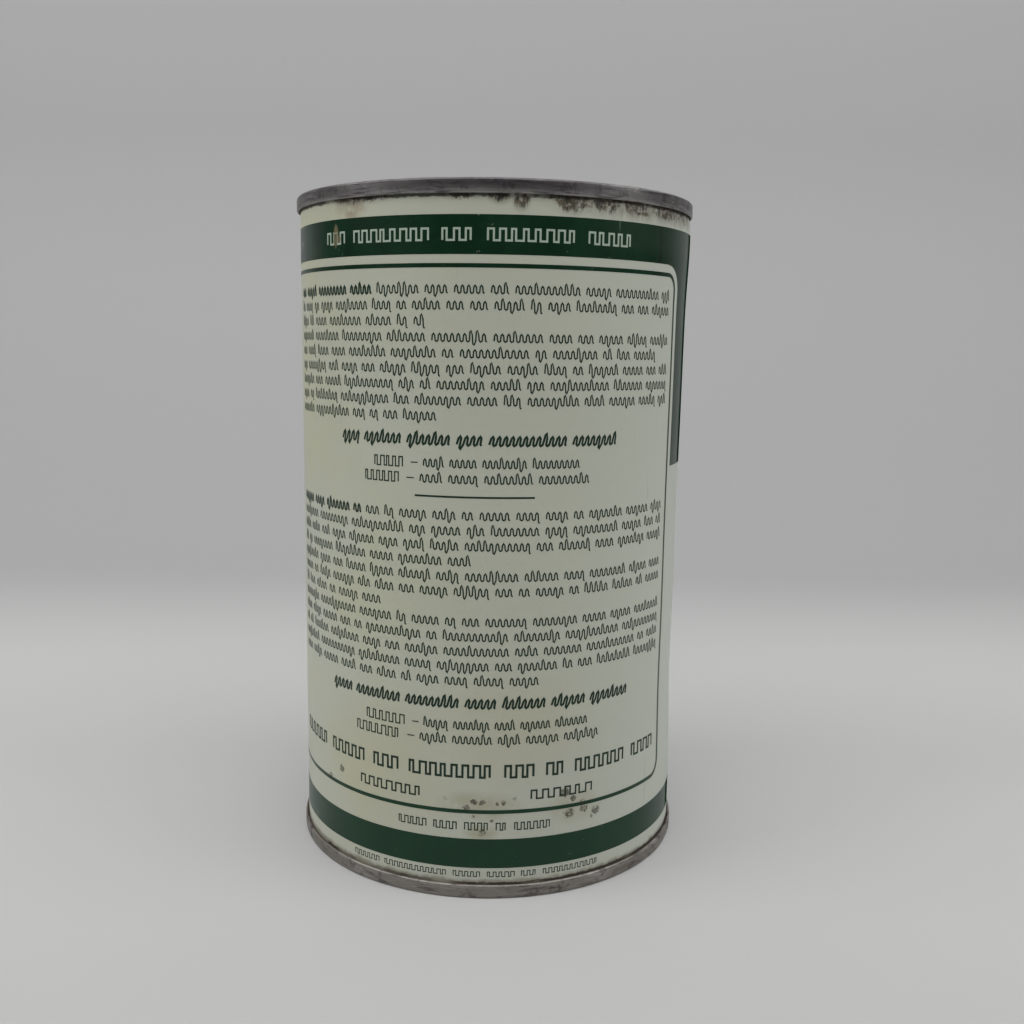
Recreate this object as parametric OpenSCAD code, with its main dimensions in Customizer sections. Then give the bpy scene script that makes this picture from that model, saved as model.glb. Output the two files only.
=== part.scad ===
// Quart oil can: a lock-seamed tinplate body with an end rolled onto it, by a double seam, at top and bottom.
// Millimetres, +Z up. The origin is the centre of the bottom rim's plane, and -Y is the side with the copy.

/* [Can] */
// Height over both rims
overall_height = 168.3; // [120:0.1:260]
// Outside diameter of the body
body_diameter = 101.4; // [80:0.1:160]
// Thickness of the body's tinplate
body_plate = 0.25; // [0.2:0.01:0.3]
// Thickness of the ends' tinplate
end_plate = 0.28; // [0.24:0.01:0.32]

/* [Double seams] */
// Height of each rolled rim
seam_height = 3.4; // [3:0.1:4]
// Gap left between the rolled layers
layer_gap = 0.03; // [0.02:0.01:0.05]
// Room for sealing compound between the end and the body's curl
compound_room = 0.25; // [0.15:0.01:0.35]
// How far the body's hook and the cover's hook lap each other
hook_lap = 1.6; // [1:0.1:1.8]

/* [End panels] */
// Depth from the rim to the countersink's floor
countersink_depth = 3.8; // [3.4:0.1:5]
// Width of the countersink, from the chuck wall to the panel's step
countersink_width = 3.4; // [2.5:0.1:5]
// Height of the panel above the countersink's floor
panel_rise = 0.9; // [0.5:0.1:1.5]
// Width of the raised ring between the countersink and the expansion ring
raised_ring_width = 4; // [3:0.1:6]
// Width of the sunk expansion ring
expansion_ring_width = 5.6; // [4:0.1:10]
// Depth of the expansion ring below the panel
expansion_ring_depth = 0.7; // [0.3:0.1:0.9]

/* [Side seam] */
// Direction of the side seam, counter-clockwise from +X
seam_angle = 170; // [0:1:359]
// Half the width of the folded lock
lock_half_width = 1.6; // [1.3:0.1:2.5]
// Height left plain between each rim's plane and the lock
lock_end_margin = 5.4; // [5:0.1:12]
// How far the solder film reaches past each side of the groove
solder_margin = 1.2; // [0.5:0.1:3]
// Thickness of the solder film over the seam
solder_film = 0.08; // [0.05:0.01:0.2]

/* [Contents] */
// Volume of oil in the can, in millilitres
oil_volume = 1136; // [600:1:1140]
// Gap left between the oil and the tinplate
oil_gap = 0.1; // [0.05:0.01:0.3]

/* [Hidden] */
$fn = 128;

// flat pieces in one bend of the sheet, and the longest chord along the body's curve
BEND_STEPS = 5;
LONGEST_CHORD = 0.8;
// straight run left between the two bends of a fold, and the gap around compound and solder
FOLD_FLAT = 0.01;
SKIN_GAP = 0.01;
CUBIC_MM_PER_ML = 1000;

TINPLATE = [0.63, 0.64, 0.57];
BARE_TIN = [0.40, 0.39, 0.37];
SOLDER = [0.70, 0.70, 0.68];
COMPOUND = [0.30, 0.22, 0.18];
OIL = [0.62, 0.38, 0.10];

// layers of the double seam, from inside to outside, each at the middle of its sheet
body_radius = body_diameter / 2;
body_wall_r = body_radius - body_plate / 2;
chuck_wall_r = body_radius - body_plate - layer_gap - end_plate / 2;
cover_hook_r = body_radius + layer_gap + end_plate / 2;
body_hook_r = cover_hook_r + end_plate / 2 + layer_gap + body_plate / 2;
seaming_wall_r = body_hook_r + body_plate / 2 + layer_gap + end_plate / 2;
rim_radius = seaming_wall_r + end_plate / 2;

// both hooks are folded back through the same width, which holds one sheet of the other part
body_fold = (body_hook_r - body_wall_r - FOLD_FLAT) / 2;
cover_fold = (seaming_wall_r - cover_hook_r - FOLD_FLAT) / 2;

// depths below the rim's plane, at the middle of each sheet
rim_crown_depth = end_plate / 2;
body_crown_depth = end_plate + compound_room + body_plate / 2;
cover_turn_depth = seam_height - end_plate / 2;
body_hook_tip_depth = cover_turn_depth - end_plate / 2 - body_plate;
cover_hook_tip_depth = body_hook_tip_depth - hook_lap;

// bends of the end's sheet
CHUCK_TOP_BEND = 0.42;
SEAMING_BEND = 0.45;
COUNTERSINK_BEND = 0.6;
PANEL_BEND = 0.5;
STEP_RUN = 0.8;

// radii and depths of the end's panel
countersink_floor_depth = countersink_depth + end_plate / 2;
panel_depth = countersink_floor_depth - panel_rise;
expansion_depth = panel_depth + expansion_ring_depth;
panel_r = chuck_wall_r - countersink_width;
ring_out_r = panel_r - STEP_RUN - raised_ring_width;
ring_in_r = ring_out_r - expansion_ring_width;

// the side seam's lock: four layers deep, measured inward from the body's outside
layer_pitch = body_plate + layer_gap;
LOCK_BEND = 0.27;
HOOK_SHORTFALL = 0.5;
JOG_START = 1.3;
JOG_END = 0.35;
JOG_BEND = 0.3;
degrees_per_mm = 180 / (PI * body_radius);

// the slot in the body that the lock fills: where it opens and closes beside the fold, and how far
// the lock's sheet, drawn a hair thinner than the body, runs on inside the body's wall
SLOT_OPENS = 0.27;
slot_closes = JOG_START + 0.4;
LOCK_ROOT = 0.6;
NOTCH = 0.2;
lock_plate = body_plate - 2 * SKIN_GAP;

oil_floor = countersink_floor_depth + end_plate / 2 + oil_gap;
oil_radius = body_radius - body_plate - oil_gap;
oil_depth = oil_volume * CUBIC_MM_PER_ML / (PI * pow(oil_radius, 2));

// ---- sheet metal: a path of [x, y, bend radius] given a thickness ----

function spot(corner) = [corner[0], corner[1]];

function unit(v) = v / norm(v);

function left_of(v) = [-v[1], v[0]];

function turned(v, a) = [v[0] * cos(a) - v[1] * sin(a), v[0] * sin(a) + v[1] * cos(a)];

function turn_between(u, v) = atan2(u[0] * v[1] - u[1] * v[0], u * v);

// points round one bend, each with the sheet's normal there
function bend(p, u, v, radius) =
    let (a = turn_between(u, v))
    let (start = p - u * radius * tan(abs(a) / 2))
    let (centre = start + left_of(u) * radius * sign(a))
    [for (k = [0 : BEND_STEPS])
        [centre + turned(start - centre, a * k / BEND_STEPS), turned(left_of(u), a * k / BEND_STEPS)]];

// the middle of the sheet along its whole path, as [point, normal] pairs
function rail(path) =
    let (last = len(path) - 1)
    [for (i = [0 : last])
        let (p = spot(path[i]))
        let (u = unit(p - spot(path[max(i - 1, 0)])))
        let (v = unit(spot(path[min(i + 1, last)]) - p))
        each (i == 0 ? [[p, left_of(v)]] : i == last ? [[p, left_of(u)]] : bend(p, u, v, path[i][2]))];

function sheet_outline(path, thickness) =
    let (pairs = rail(path))
    let (last = len(pairs) - 1)
    concat([for (q = pairs) q[0] + q[1] * thickness / 2],
           [for (i = [last : -1 : 0]) pairs[i][0] - pairs[i][1] * thickness / 2]);

function arc(centre, radius, from, to) =
    [for (k = [0 : BEND_STEPS])
        let (a = from + (to - from) * k / BEND_STEPS)
        centre + radius * [cos(a), sin(a)]];

// ---- the side seam is drawn flat, as [distance along the body, depth], and wrapped round it ----

function with_short_edges(points) =
    [for (i = [0 : len(points) - 1])
        let (from = points[i])
        let (to = points[(i + 1) % len(points)])
        let (steps = max(1, ceil(norm(to - from) / LONGEST_CHORD)))
        for (k = [0 : steps - 1]) from + (to - from) * k / steps];

function wrapped(points) =
    [for (p = with_short_edges(points))
        let (a = seam_angle + p[0] * degrees_per_mm)
        (body_radius - p[1]) * [cos(a), sin(a)]];

function layer_depth(n) = body_plate / 2 + n * layer_pitch;

// ---- profiles, with the rim's plane at z = 0 and the can below it ----

function end_path() = [
    [0, -panel_depth],
    [ring_in_r - STEP_RUN, -panel_depth, PANEL_BEND],
    [ring_in_r, -expansion_depth, PANEL_BEND],
    [ring_out_r, -expansion_depth, PANEL_BEND],
    [ring_out_r + STEP_RUN, -panel_depth, PANEL_BEND],
    [panel_r - STEP_RUN, -panel_depth, PANEL_BEND],
    [panel_r, -countersink_floor_depth, PANEL_BEND],
    [chuck_wall_r, -countersink_floor_depth, COUNTERSINK_BEND],
    [chuck_wall_r, -rim_crown_depth, CHUCK_TOP_BEND],
    [seaming_wall_r, -rim_crown_depth, SEAMING_BEND],
    [seaming_wall_r, -cover_turn_depth, cover_fold],
    [cover_hook_r, -cover_turn_depth, cover_fold],
    [cover_hook_r, -cover_hook_tip_depth]
];

// the body's wall from curl to curl, with the bottom rim's plane at z = 0
function body_path() = [
    [body_hook_r, body_hook_tip_depth],
    [body_hook_r, body_crown_depth, body_fold],
    [body_wall_r, body_crown_depth, body_fold],
    [body_wall_r, overall_height - body_crown_depth, body_fold],
    [body_hook_r, overall_height - body_crown_depth, body_fold],
    [body_hook_r, overall_height - body_hook_tip_depth]
];

module end_shell() {
    rotate_extrude() polygon(sheet_outline(end_path(), end_plate));
}

// the crescent of compound squeezed between the end's crown and the body's curl
module compound_ring() {
    curl_centre = [(body_wall_r + body_hook_r) / 2, -body_crown_depth - body_fold];
    curl_r = body_fold + body_plate / 2 + 2 * SKIN_GAP;
    inner_corner = [chuck_wall_r + CHUCK_TOP_BEND, -rim_crown_depth - CHUCK_TOP_BEND];
    outer_corner = [seaming_wall_r - SEAMING_BEND, -rim_crown_depth - SEAMING_BEND];
    skin = end_plate / 2 + SKIN_GAP;
    rotate_extrude()
        polygon(concat(arc(curl_centre, curl_r, 30, 150),
                       arc(inner_corner, CHUCK_TOP_BEND - skin, 180, 90),
                       arc(outer_corner, SEAMING_BEND - skin, 90, 0)));
}

// ---- the pieces ----

// Rolled tinplate, with its two edges hooked together inside the can
module can_body() {
    slot = [4 * layer_depth(2), SLOT_OPENS + slot_closes, overall_height - 2 * lock_end_margin];
    inner_hook = [
        [lock_half_width - SLOT_OPENS - LOCK_ROOT, layer_depth(0)],
        [lock_half_width, layer_depth(0), LOCK_BEND],
        [lock_half_width, layer_depth(2), LOCK_BEND],
        [HOOK_SHORTFALL - lock_half_width, layer_depth(2)]
    ];
    outer_hook = [
        [lock_half_width + slot_closes + LOCK_ROOT, layer_depth(0)],
        [lock_half_width + JOG_START, layer_depth(0), JOG_BEND],
        [lock_half_width + JOG_END, layer_depth(3), JOG_BEND],
        [-lock_half_width, layer_depth(3), LOCK_BEND],
        [-lock_half_width, layer_depth(1), LOCK_BEND],
        [lock_half_width - HOOK_SHORTFALL, layer_depth(1)]
    ];
    color(TINPLATE) {
        difference() {
            rotate_extrude() polygon(sheet_outline(body_path(), body_plate));
            rotate([0, 0, seam_angle])
                translate([body_radius - slot[0] / 2, lock_half_width - SLOT_OPENS, lock_end_margin])
                    cube(slot);
        }
        translate([0, 0, lock_end_margin + NOTCH])
            linear_extrude(overall_height - 2 * (lock_end_margin + NOTCH)) {
                polygon(wrapped(sheet_outline(inner_hook, lock_plate)));
                polygon(wrapped(sheet_outline(outer_hook, lock_plate)));
            }
    }
}

// Solder filling the groove outside the lock, with a thin film to each side
module side_seam_solder() {
    lift = 2 * SKIN_GAP;
    groove_floor = layer_depth(0) + LOCK_BEND + SKIN_GAP;
    bend_centre = [lock_half_width - LOCK_BEND, groove_floor];
    jog_top = [lock_half_width + JOG_START, -lift];
    jog_slope = (JOG_START - JOG_END) / (layer_depth(3) - layer_depth(0));
    left = lock_half_width - SLOT_OPENS - solder_margin;
    right = lock_half_width + slot_closes + solder_margin;
    clear_of_jog = 0.14;
    outline = concat(
        [[left, -lift]],
        arc(bend_centre, LOCK_BEND + body_plate / 2 + lift, -90, 0),
        [[jog_top[0] - clear_of_jog - jog_slope * (groove_floor + lift), groove_floor]],
        [[jog_top[0] - clear_of_jog, -lift]],
        [[right, -lift]],
        [[right, -lift - solder_film]],
        [[left, -lift - solder_film]]);
    color(SOLDER)
        translate([0, 0, lock_end_margin])
            linear_extrude(overall_height - 2 * lock_end_margin)
                polygon(wrapped(outline));
}

module top_end() {
    color(BARE_TIN) translate([0, 0, overall_height]) end_shell();
}

module bottom_end() {
    color(BARE_TIN) mirror([0, 0, 1]) end_shell();
}

module top_seam_compound() {
    color(COMPOUND) translate([0, 0, overall_height]) compound_ring();
}

module bottom_seam_compound() {
    color(COMPOUND) mirror([0, 0, 1]) compound_ring();
}

// The oil, standing on the bottom end's panel and clear of the lock
module oil_fill() {
    lock_space = [2 * layer_depth(4), 4 * lock_half_width + slot_closes, oil_depth + 2];
    color(OIL)
        difference() {
            translate([0, 0, oil_floor]) cylinder(r = oil_radius, h = oil_depth);
            rotate([0, 0, seam_angle])
                translate([body_radius - layer_depth(4) - oil_gap, -lock_space[1] / 2, oil_floor - 1])
                    cube(lock_space);
        }
}

can_body();
side_seam_solder();
top_end();
bottom_end();
top_seam_compound();
bottom_seam_compound();
oil_fill();
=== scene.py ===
"""Round tinplate quart can for motor oil: sheet-metal shells, printed ink and worn finishes on the frame.

Lengths are in metres, built from millimetres with MM. Directions round the can are in degrees from the
copy side (-Y), positive towards +X, so a point at angle a and radius r is (r sin a, -r cos a).
"""

import math
import random

import bpy
from mathutils import Matrix, Vector, noise


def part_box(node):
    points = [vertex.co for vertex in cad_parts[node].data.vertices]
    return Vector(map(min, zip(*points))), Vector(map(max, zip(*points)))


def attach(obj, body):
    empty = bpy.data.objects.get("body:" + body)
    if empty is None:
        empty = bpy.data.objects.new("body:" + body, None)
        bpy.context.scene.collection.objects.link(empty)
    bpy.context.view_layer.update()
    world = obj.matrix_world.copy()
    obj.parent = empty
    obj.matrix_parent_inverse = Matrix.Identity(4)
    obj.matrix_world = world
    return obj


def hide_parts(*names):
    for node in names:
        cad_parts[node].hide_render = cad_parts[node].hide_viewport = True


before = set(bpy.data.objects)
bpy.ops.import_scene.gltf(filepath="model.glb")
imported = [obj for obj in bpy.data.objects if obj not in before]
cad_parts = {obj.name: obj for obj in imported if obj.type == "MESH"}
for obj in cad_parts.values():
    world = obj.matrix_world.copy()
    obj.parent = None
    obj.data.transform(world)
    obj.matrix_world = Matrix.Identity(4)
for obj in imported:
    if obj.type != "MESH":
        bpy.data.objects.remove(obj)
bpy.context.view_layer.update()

MM = 0.001
ROOT = "root"

# ---------------------------------------------------------------- sizes, worked out from the frame

CAN_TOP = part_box("top_end")[1].z
RIM_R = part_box("top_end")[1].x
END_PLATE = 0.28 * MM
BODY_PLATE = 0.25 * MM
LAYER_GAP = 0.03 * MM
BODY_R = RIM_R - 2 * END_PLATE - BODY_PLATE - 3 * LAYER_GAP
SEAM_HEIGHT = 3.4 * MM
OIL_GAP = 0.1 * MM
SEAM_ANGLE = -100.0

# the print, as heights on the can and angles round it
TOP_BAND = (151.9 * MM, 160.5 * MM)
BOTTOM_BAND = (7.5 * MM, 14.9 * MM)
FIELD_FOOT = 102.5 * MM
FRAME_LINE = (21.8 * MM, 149.5 * MM)
FRAME_SIDES = (-86.0, 60.4)
FRAME_CORNER = 3.9 * MM
FRAME_LINE_WIDTH = 0.95 * MM
PANEL_MARGIN = 2.3 * MM
COPY_LEFT, COPY_RIGHT = -72.0, 57.2
FRONT_CENTRE = 157.5
INK_LIFT = 0.03 * MM
TOP_INK_LIFT = 0.055 * MM
INK_ROOT = -0.05 * MM
SEAM_STRIP = 5.2 * MM

WALL_TURNS = 384
END_TURNS = 288
BEND_STEPS = 7


def smooth(low, high, x):
    t = min(max((x - low) / (high - low), 0.0), 1.0)
    return t * t * (3 - 2 * t)


def arc_angle(length):
    """Degrees round the body for a length along it."""
    return math.degrees(length / BODY_R)


def wrap(angle):
    return (angle + 180.0) % 360.0 - 180.0


# ---------------------------------------------------------------- the body's slightly uneven wall

# small dings: angle, height, depth and radius
DINGS = [(-34, 117, 0.10, 9), (37, 66, 0.12, 12), (12, 24, 0.10, 8), (118, 58, 0.45, 9),
         (152, 132, 0.30, 8), (-148, 88, 0.35, 11), (-122, 30, 0.30, 7), (96, 20, 0.25, 6)]
# broad hollows (depth above 0) and swellings: angle, height, depth, reach across and reach up
SAGS = [(84, 88, 0.5, 30, 34), (82, 46, 0.55, 26, 17)]
FLARE = (84, 159, -0.55, 30, 12)


def sag(angle, z, at_angle, at_z, depth, across, tall):
    s = BODY_R * math.radians(wrap(angle - at_angle)) / (across * MM)
    return -depth * MM * math.exp(-s * s - ((z / MM - at_z) / tall) ** 2)


def wall_shift(angle, z):
    """How far the body's wall lies outside its nominal radius, at an angle and a height."""
    shift = sum(sag(angle, z, *each) for each in SAGS)
    around = Vector((math.sin(math.radians(angle)), -math.cos(math.radians(angle)), 0))
    shift += 0.05 * MM * noise.noise(around * 3.1 + Vector((0, 0, z * 26)))
    shift += 0.025 * MM * noise.noise(around * 9.0 + Vector((5, 0, z * 55)))
    for ding_angle, height, depth, radius in DINGS:
        across = BODY_R * math.radians(wrap(angle - ding_angle))
        reach = math.hypot(across, z - height * MM) / (radius * MM)
        if reach < 2.5:
            shift -= depth * MM * math.exp(-2 * reach * reach)
    from_seam = min(z, CAN_TOP - z) - SEAM_HEIGHT
    flare = sag(angle, z, *FLARE) * smooth(0, 2.5 * MM, from_seam)
    return shift * smooth(0, 3 * SEAM_HEIGHT, from_seam) + flare


def seam_step(angle):
    """The shallow groove beside the lock, where one edge of the sheet dives under the other."""
    across = BODY_R * math.radians(wrap(angle - SEAM_ANGLE)) / MM
    return -0.16 * MM * math.exp(-(across / 0.55) ** 2)


def on_wall(angle, z, lift=0.0):
    r = BODY_R + wall_shift(angle, z) + lift
    a = math.radians(angle)
    return (r * math.sin(a), -r * math.cos(a), z)


# ---------------------------------------------------------------- sheet-metal profiles

def turned(v, a):
    return Vector((v.x * math.cos(a) - v.y * math.sin(a), v.x * math.sin(a) + v.y * math.cos(a)))


def left_of(v):
    return Vector((-v.y, v.x))


def bend(p, u, v, radius):
    """Points round one bend of the sheet between directions u and v, each with the sheet's normal."""
    a = math.atan2(u.x * v.y - u.y * v.x, u.dot(v))
    start = p - u * radius * math.tan(abs(a) / 2)
    centre = start + left_of(u) * math.copysign(radius, a)
    return [(centre + turned(start - centre, a * k / BEND_STEPS), turned(left_of(u), a * k / BEND_STEPS))
            for k in range(BEND_STEPS + 1)]


def sheet_outline(path, thickness, longest):
    """Both faces of a sheet along path, a list of (r, z) or (r, z, bend radius), in short steps."""
    spots = [Vector(p[:2]) for p in path]
    rail = []
    for i, p in enumerate(spots):
        into = (p - spots[i - 1]).normalized() if i else None
        out = (spots[i + 1] - p).normalized() if i < len(spots) - 1 else None
        if into is None or out is None:
            rail.append((p, left_of(into or out)))
        else:
            rail += bend(p, into, out, path[i][2])
    fine = [rail[0]]
    for (p, n), (q, m) in zip(rail, rail[1:]):
        steps = max(1, math.ceil((q - p).length / longest))
        fine += [(p.lerp(q, k / steps), n.lerp(m, k / steps)) for k in range(1, steps + 1)]
    outer = [p - n * thickness / 2 for p, n in fine]
    return outer + [p + n * thickness / 2 for p, n in reversed(fine)]


# the middle of each layer of the rolled rim, from the can's axis outwards
BODY_WALL = BODY_R - BODY_PLATE / 2
CHUCK_WALL = BODY_R - BODY_PLATE - LAYER_GAP - END_PLATE / 2
COVER_HOOK = BODY_R + LAYER_GAP + END_PLATE / 2
BODY_HOOK = COVER_HOOK + END_PLATE / 2 + LAYER_GAP + BODY_PLATE / 2
SEAMING_WALL = RIM_R - END_PLATE / 2
FOLD = 0.29 * MM


def end_path():
    """The end's sheet, from its centre to the tip of its hook, as depths below the rim's plane."""
    floor = 3.8 * MM + END_PLATE / 2
    panel = floor - 0.9 * MM
    sunk = panel + 0.7 * MM
    step = 0.8 * MM
    panel_r = CHUCK_WALL - 3.4 * MM
    ring_out = panel_r - step - 4 * MM
    ring_in = ring_out - 5.6 * MM
    soft = 0.5 * MM
    crown = END_PLATE / 2
    turn = SEAM_HEIGHT - END_PLATE / 2
    panel_points = [(0, -panel), (ring_in - step, -panel, soft), (ring_in, -sunk, soft),
                    (ring_out, -sunk, soft), (ring_out + step, -panel, soft),
                    (panel_r - step, -panel, soft), (panel_r, -floor, soft)]
    return panel_points + [(CHUCK_WALL, -floor, 0.6 * MM), (CHUCK_WALL, -crown, 0.42 * MM),
                           (SEAMING_WALL, -crown, 0.45 * MM), (SEAMING_WALL, -turn, FOLD),
                           (COVER_HOOK, -turn, FOLD), (COVER_HOOK, -1.1 * MM)]


def body_path():
    """The body's sheet, from the tip of its lower hook up the wall to the tip of its upper hook."""
    crown = END_PLATE + 0.25 * MM + BODY_PLATE / 2
    tip = 2.7 * MM
    return [(BODY_HOOK, tip), (BODY_HOOK, crown, FOLD), (BODY_WALL, crown, FOLD),
            (BODY_WALL, CAN_TOP - crown, FOLD), (BODY_HOOK, CAN_TOP - crown, FOLD),
            (BODY_HOOK, CAN_TOP - tip)]


def add_object(name, points, faces, material, rounded=True):
    mesh = bpy.data.meshes.new(name)
    mesh.from_pydata([tuple(p) for p in points], [], faces)
    mesh.validate()
    mesh.update()
    for polygon in mesh.polygons:
        polygon.use_smooth = rounded
    piece = bpy.data.objects.new(name, mesh)
    bpy.context.scene.collection.objects.link(piece)
    piece.data.materials.append(material)
    return piece


def lathe(name, outline, turns, material, place):
    """Spins a closed (r, z) outline round Z. place(angle, r, z) gives each point; r = 0 is one point."""
    points, rings, faces = [], [], []
    for p in outline:
        if p.x < 1e-9:
            rings.append([len(points)] * turns)
            points.append((0.0, 0.0, place(0.0, 0.0, p.y)[2]))
        else:
            rings.append(list(range(len(points), len(points) + turns)))
            points += [place(360.0 * k / turns, p.x, p.y) for k in range(turns)]
    for i, ring in enumerate(rings):
        after = rings[(i + 1) % len(rings)]
        for k in range(turns):
            n = (k + 1) % turns
            face = []
            for corner in (ring[k], ring[n], after[n], after[k]):
                if corner not in face:
                    face.append(corner)
            if len(face) > 2:
                faces.append(face)
    return add_object(name, points, faces, material)


# ---------------------------------------------------------------- material helpers

class Paint:
    """A short way to build one material's nodes. Every value it returns is an output socket."""

    def __init__(self, name):
        self.material = bpy.data.materials.new(name)
        self.material.use_nodes = True
        self.nodes = self.material.node_tree.nodes
        self.links = self.material.node_tree.links
        self.shader = self.nodes["Principled BSDF"]
        self.place = self.new("ShaderNodeTexCoord").outputs["Object"]
        parts = self.new("ShaderNodeSeparateXYZ", Vector=self.place)
        self.x, self.y, self.z = parts.outputs
        turn = self.math("ARCTAN2", self.x, self.math("MULTIPLY", self.y, -1.0))
        self.angle = self.math("MULTIPLY", turn, math.degrees(1))
        self.radius = self.math("SQRT", self.math("ADD", self.math("MULTIPLY", self.x, self.x),
                                                  self.math("MULTIPLY", self.y, self.y)))

    def put(self, socket, value):
        if isinstance(value, bpy.types.NodeSocket):
            self.links.new(value, socket)
        elif isinstance(value, (tuple, list)) and socket.type == "RGBA":
            socket.default_value = (*value[:3], 1.0)
        else:
            socket.default_value = value

    def new(self, kind, **inputs):
        node = self.nodes.new(kind)
        for name, value in inputs.items():
            self.put(node.inputs[name], value)
        return node

    def math(self, operation, a, b=0.0, c=0.0):
        node = self.nodes.new("ShaderNodeMath")
        node.operation = operation
        for socket, value in zip(node.inputs, (a, b, c)):
            self.put(socket, value)
        return node.outputs[0]

    def stretch(self, x, y, z, shift=0.0):
        """Object coordinates with each axis scaled, for streaks."""
        node = self.nodes.new("ShaderNodeMapping")
        self.put(node.inputs["Vector"], self.place)
        node.inputs["Scale"].default_value = (x, y, z)
        node.inputs["Location"].default_value = (shift, shift * 0.7, shift * 1.3)
        return node.outputs[0]

    def noise(self, scale, detail=3.0, rough=0.55, vector=None, warp=0.0):
        node = self.new("ShaderNodeTexNoise", Scale=scale, Detail=detail, Roughness=rough,
                        Distortion=warp)
        self.put(node.inputs["Vector"], vector or self.place)
        return node.outputs["Fac"]

    def cells(self, scale):
        node = self.new("ShaderNodeTexVoronoi", Scale=scale, Randomness=1.0)
        self.put(node.inputs["Vector"], self.place)
        return node.outputs["Distance"]

    def step(self, value, low, high):
        """0 below low and 1 above high, smooth between; falls instead where high is under low."""
        node = self.nodes.new("ShaderNodeMapRange")
        node.interpolation_type = "SMOOTHSTEP"
        falls = high < low
        for name, number in (("From Min", min(low, high)), ("From Max", max(low, high)),
                             ("To Min", 1.0 if falls else 0.0), ("To Max", 0.0 if falls else 1.0)):
            node.inputs[name].default_value = number
        self.put(node.inputs["Value"], value)
        return node.outputs[0]

    def both(self, *values):
        out = values[0]
        for value in values[1:]:
            out = self.math("MULTIPLY", out, value)
        return out

    def most(self, *values):
        out = values[0]
        for value in values[1:]:
            out = self.math("MAXIMUM", out, value)
        return out

    def mix(self, share, a, b):
        node = self.nodes.new("ShaderNodeMix")
        node.data_type = "RGBA"
        self.put(node.inputs["Factor"], share)
        self.put(node.inputs["A"], a)
        self.put(node.inputs["B"], b)
        return node.outputs["Result"]

    def lay(self, base, mask, share, colour):
        """base with colour laid over it where mask is 1, at the given share."""
        return self.mix(self.math("MULTIPLY", mask, share), base, colour)

    def blob(self, angle, z, across, tall, edge=0.5):
        """A soft oval mask on the wall: angle in degrees, z and the half-axes in millimetres."""
        scale = BODY_R * math.radians(1) / (across * MM)
        a = self.math("MULTIPLY", self.math("SUBTRACT", self.angle, angle), scale)
        h = self.math("MULTIPLY", self.math("SUBTRACT", self.z, z * MM), 1 / (tall * MM))
        far = self.math("ADD", self.math("MULTIPLY", a, a), self.math("MULTIPLY", h, h))
        return self.step(far, 1.0, edge)

    def scratches(self, amount, scale, tilt=0.0, seed=0.0):
        """Fine broken lines, mostly upright, as a mask."""
        node = self.nodes.new("ShaderNodeMapping")
        self.put(node.inputs["Vector"], self.place)
        node.inputs["Rotation"].default_value = (tilt, tilt * 0.6, 0)
        node.inputs["Scale"].default_value = (1, 1, 0.035)
        node.inputs["Location"].default_value = (seed, seed * 2, seed * 3)
        line = self.noise(scale, 2.0, 0.6, node.outputs[0])
        broken = self.noise(90, 2.0, 0.5, self.stretch(1, 1, 1, seed + 3))
        return self.both(self.step(line, 1 - amount, 1 - amount + 0.03), self.step(broken, 0.5, 0.6))

    def gloss(self, ahead, aslant):
        """Specular level that goes from one value to another towards grazing views, as on varnish."""
        facing = self.new("ShaderNodeLayerWeight", Blend=0.5).outputs["Facing"]
        return self.math("MULTIPLY_ADD", self.step(facing, 0.45, 0.95), aslant - ahead, ahead)

    def finish(self, colour, rough, metallic=0.0, bump=None, depth=0.0, specular=0.5):
        self.put(self.shader.inputs["Base Color"], colour)
        self.put(self.shader.inputs["Roughness"], rough)
        self.put(self.shader.inputs["Metallic"], metallic)
        self.put(self.shader.inputs["Specular IOR Level"], specular)
        if bump is not None:
            node = self.nodes.new("ShaderNodeBump")
            node.inputs["Strength"].default_value = 1.0
            node.inputs["Distance"].default_value = depth
            self.put(node.inputs["Height"], bump)
            self.links.new(node.outputs["Normal"], self.shader.inputs["Normal"])
        return self.material


# colours, linear
CREAM = (0.535, 0.555, 0.450)
CREAM_YELLOW = (0.50, 0.50, 0.33)
CREAM_COOL = (0.51, 0.545, 0.475)
CREAM_GREY = (0.44, 0.45, 0.39)
GREEN = (0.0030, 0.0215, 0.0088)
GREEN_PALE = (0.0065, 0.0345, 0.0155)
RUST_DARK = (0.020, 0.012, 0.009)
RUST = (0.115, 0.052, 0.022)
RUST_PALE = (0.27, 0.20, 0.12)
STAIN_DARK = (0.017, 0.014, 0.008)
STAIN = (0.100, 0.080, 0.048)
SPECK = (0.085, 0.062, 0.034)
GRIME = (0.200, 0.178, 0.135)
TIN = (0.235, 0.228, 0.220)
TIN_DARK = (0.060, 0.053, 0.058)
TIN_WORN = (0.42, 0.41, 0.39)
SEAM_TIN = (0.34, 0.33, 0.29)


# stains under the top rim: angle, reach across and reach down
STAINS = [(1, 4, 3.4), (6.5, 3, 5.2), (20, 9, 5.4), (30, 9, 5.0), (38, 9, 5.2), (55, 14, 5.6),
          (67, 9, 5.0), (-38, 12, 3.0), (-8, 7, 2.4), (96, 14, 4), (131, 11, 5), (160, 13, 3.6),
          (-150, 13, 5), (-112, 12, 4)]
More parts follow.
